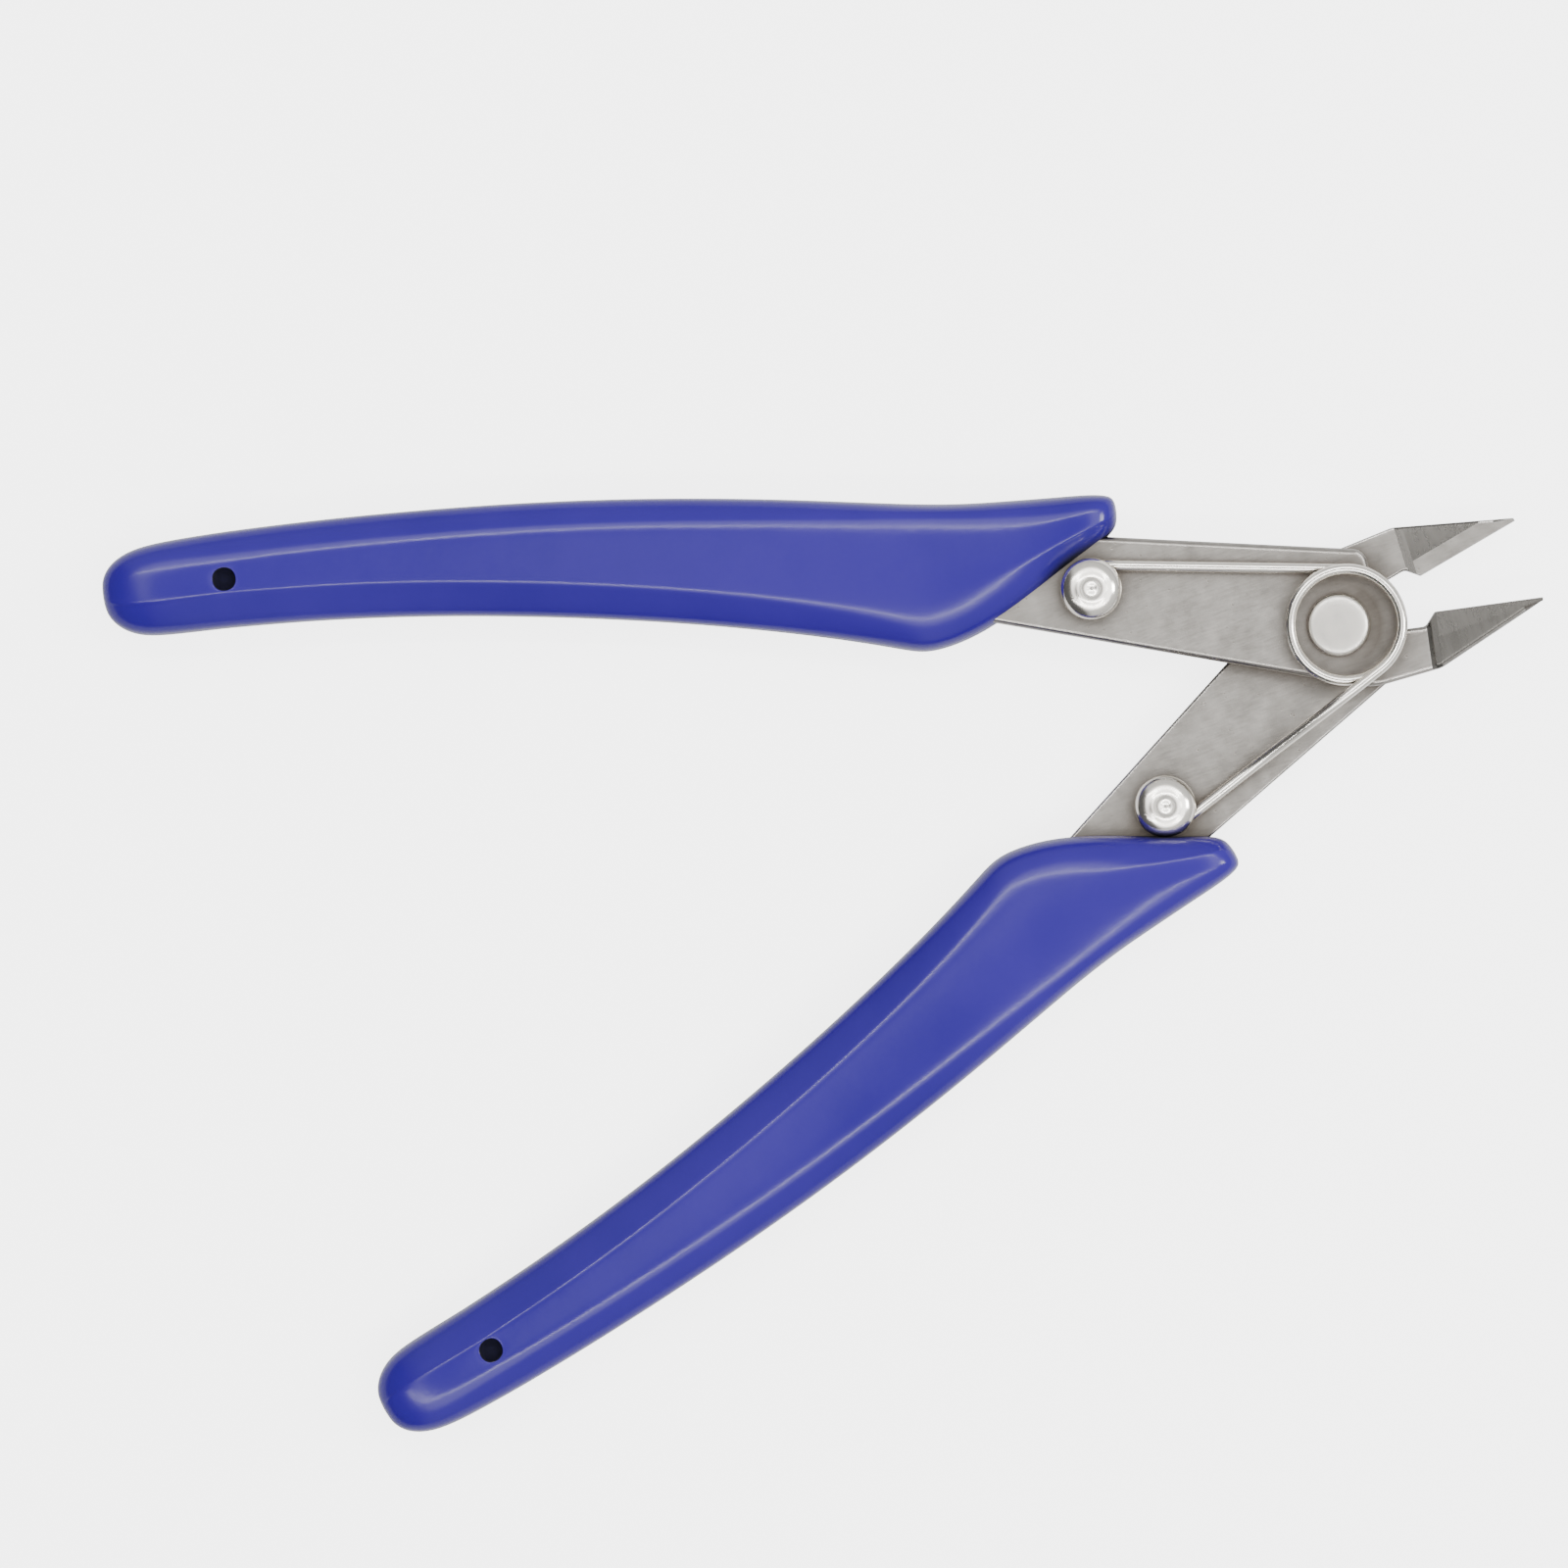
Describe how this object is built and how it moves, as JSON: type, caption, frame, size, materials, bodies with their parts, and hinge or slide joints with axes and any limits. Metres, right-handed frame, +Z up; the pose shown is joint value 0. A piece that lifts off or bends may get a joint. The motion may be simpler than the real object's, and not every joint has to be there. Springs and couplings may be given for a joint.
{
  "type": "flush cutter",
  "caption": "Small hand-held shear cutter with two riveted plates, moulded grips and a wire return spring, for snipping component leads.",
  "frame": {"origin": "bottom centre of the open cutter's box, on the surface it lies on", "axes": "+X along the cutter's length, towards the jaws; +Y towards the upper grip; +Z up, away from the surface it lies on"},
  "size_m": [0.1246, 0.0854, 0.0095],
  "materials": {
    "satin_steel": "satin, ground along the edges",
    "nickel_plate": "bright nickel plate",
    "spring_wire": "bright drawn wire",
    "blue_violet_vinyl": "semi-gloss moulded vinyl"
  },
  "bodies": {
    "front_half": {"front_plate": "satin_steel", "upper_grip": "blue_violet_vinyl", "front_spring_post": "nickel_plate", "pivot_rivet": "nickel_plate", "return_spring": "spring_wire"},
    "rear_half": {"rear_plate": "satin_steel", "lower_grip": "blue_violet_vinyl", "rear_spring_post": "nickel_plate"}
  },
  "joints": [
    {"name": "jaw_pivot", "type": "hinge", "parent": "front_half", "child": "rear_half", "pos_m": [0.04377, 0, 0.0042], "axis": [0, 0, -1], "range_deg": [0, 24], "stiffness_Nm_per_rad": 0.12, "deforming": ["return_spring"]}
  ]
}
